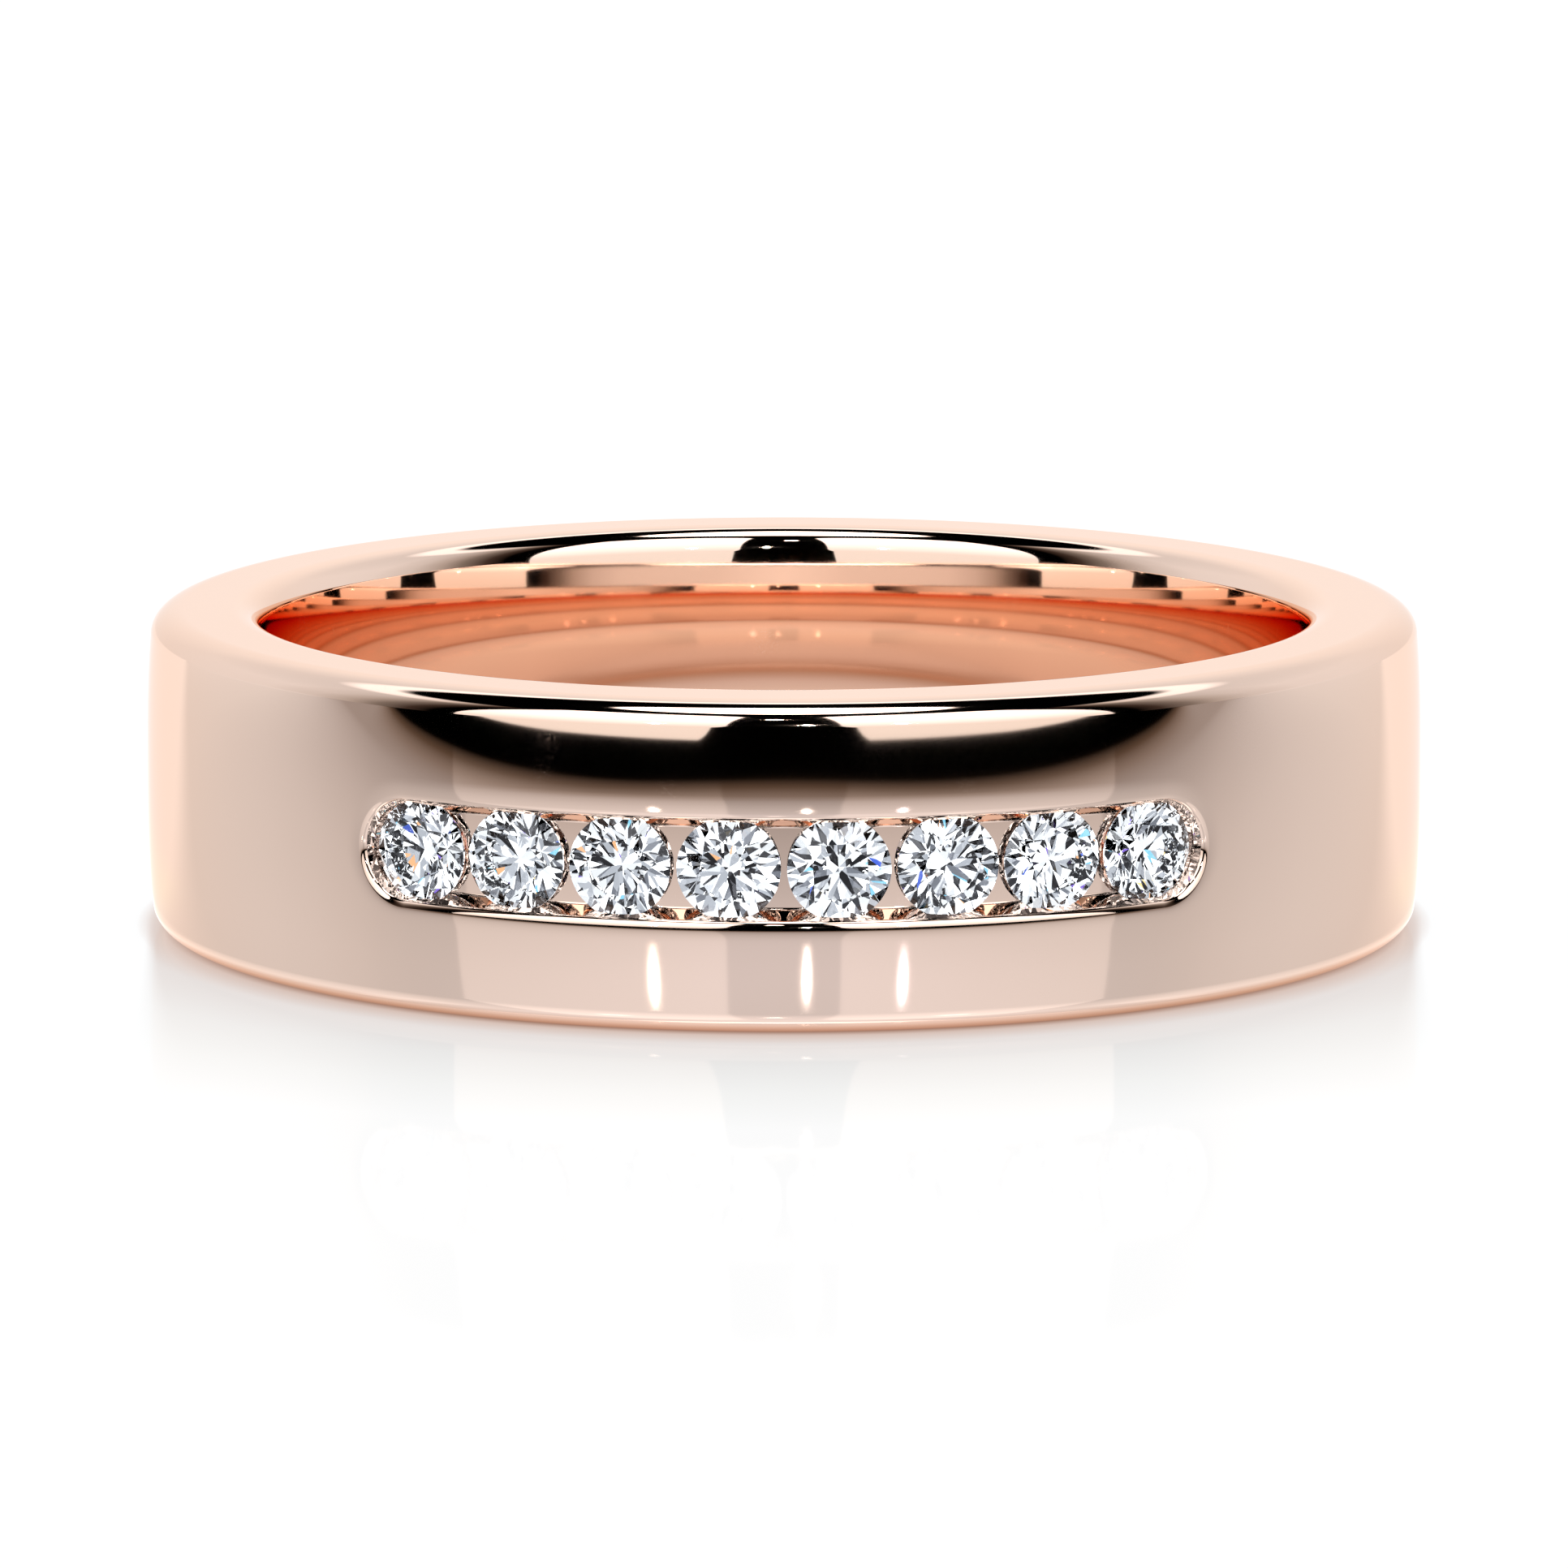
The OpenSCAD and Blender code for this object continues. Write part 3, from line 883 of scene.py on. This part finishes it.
def mirrored_floor_material():
    """The floor as the ring mirrors it, glowing with painted light and shade: black well in front,
    paler to the sides, white behind.
    """
    mat, tree, out = new_material("floor_reflected_painted_light")
    x, y, far = floor_places(tree)
    side = absolute(tree, x)
    ahead = add(tree, y, mul(tree, bell(tree, x, 0.0, BULGE_WIDTH), BULGE))
    front = math_node(tree, "MAXIMUM", mul(tree, y, -1.0), 0.01)
    aside = soft_step(tree, math_node(tree, "DIVIDE", side, front), 1.15, 4.2)
    raised = math_node(tree, "MAXIMUM", sub(tree, SIDE_LEVEL, ahead), 0.0)
    v = add(tree, ahead, mul(tree, aside, raised))
    # painted shade and light over the floor, darkest in front
    base = scaled_ramp(tree, v, -60, 60, [
        (-48, 0.0), (-38, (0.10, 0.07, 0.05)), (-30, (0.25, 0.215, 0.195)),
        (-20, (0.43, 0.425, 0.435)), (-10, (0.55, 0.56, 0.585)), (0, (0.65, 0.67, 0.70)),
        (20, (0.79, 0.82, 0.85)), (40, (0.86, 0.895, 0.935))])
    # a painted pool of light just in front
    patch = mul(tree, mul(tree, bell(tree, x, 0.0, 8.0), bell(tree, y, -17.0, 8.0)),
                soft_step(tree, y, -6.0, -12.0))
    painted_light_lift = ramp(tree, patch, [(0.0, 1.0), (1.0, (1.17, 1.18, 1.23))])
    base = colour_node(tree, "MULTIPLY", base, painted_light_lift)
    # painted light: the white wedge behind, with a tinted line along the ring's sides
    wedge = sub(tree, add(tree, mul(tree, y, WEDGE_OPENS), WEDGE_HALF), side)
    behind = mul(tree, soft_step(tree, wedge, -3.0, 2.0), soft_step(tree, y, -10.0, -4.0))
    line = mul(tree, soft_step(tree, side, 17.0, 12.6), soft_step(tree, y, -2.0, 3.0))
    white = blend(tree, line, (1.06, 1.09, 1.13, 1.0), (1.08, 1.16, 1.10, 1.0))
    # painted contact shade by the ring, a painted light ring just outside its foot, and painted warm
    # shade on the floor inside the hole, tinted as by light off the gold
    edge = scaled_ramp(tree, far, 0.0, 20.0, [
        (0.0, (0.98, 0.90, 0.85)), (5.0, (0.90, 0.79, 0.71)), (9.0, (0.68, 0.55, 0.50)),
        (10.5, (0.40, 0.22, 0.13)), (11.25, (0.40, 0.20, 0.12)), (11.6, (0.90, 0.68, 0.56)),
        (11.95, (1.36, 1.34, 1.33)), (12.6, 0.98), (15.0, 1.0)])
    outside = colour_node(tree, "MULTIPLY", blend(tree, behind, base, white), edge)
    colour = blend(tree, soft_step(tree, far, 11.3, 10.9), outside, edge)
    gloss = mul(tree, soft_step(tree, v, -48.0, -15.0), MIRRORED_GLOSS)
    glossy_floor(tree, out, colour, gloss, MIRRORED_ROUGH)
    return mat


FLOOR_RADIUS, FLOOR_GAP = 2.0, 0.00001  # metres


def build_floor():
    """Two discs: one for the camera, one for reflections."""
    floor_z = -HALF_W * MM
    rim = list(range(ROUND_N))
    seen = mesh_object("floor", circle(FLOOR_RADIUS, ROUND_N, floor_z), [rim], 1.0)
    seen.data.materials.append(seen_floor_material())
    seen.visible_glossy = False
    seen.visible_transmission = False
    seen.visible_diffuse = False
    mirrored = mesh_object("floor_in_reflections",
                           circle(FLOOR_RADIUS, ROUND_N, floor_z - FLOOR_GAP), [rim], 1.0)
    mirrored.data.materials.append(mirrored_floor_material())
    mirrored.visible_camera = False
    mirrored.visible_transmission = False


# ---------------------------------------------------------------- camera, fitted to the photo
CAMERA_LENS, CAMERA_SENSOR = 245.74, 36.0
CAMERA_ELEVATION = 9.615
CAMERA_AWAY = 201.4 * MM
CAMERA_AIM = Vector((0, 0, -0.443 * MM))


def build_camera():
    cam = bpy.data.cameras.new("camera")
    obj = bpy.data.objects.new("camera", cam)
    scene.collection.objects.link(obj)
    cam.sensor_width = CAMERA_SENSOR
    cam.lens = CAMERA_LENS
    back = direction(0, CAMERA_ELEVATION)
    obj.location = CAMERA_AIM + back * CAMERA_AWAY
    obj.rotation_mode = "QUATERNION"
    obj.rotation_quaternion = (-back).to_track_quat("-Z", "Y")
    cam.clip_start, cam.clip_end = 0.01, 10.0
    scene.camera = obj


# ---------------------------------------------------------------- put together
band = build_band()
band.data.materials.append(gold_material())
band.visible_transmission = False
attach(band, "root")
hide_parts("band")
build_stones(diamond_material())
build_world()
build_floor()
build_lights()
build_camera()

# light crosses the stones and the finger hole many times
scene.cycles.max_bounces = 40
scene.cycles.glossy_bounces = 24
scene.cycles.transmission_bounces = 24
scene.cycles.diffuse_bounces = 3
scene.cycles.transparent_max_bounces = 16
scene.cycles.blur_glossy = 0.0
scene.cycles.caustics_reflective = False
scene.cycles.caustics_refractive = False
scene.cycles.sample_clamp_indirect = 6.0
scene.view_settings.view_transform = "Standard"
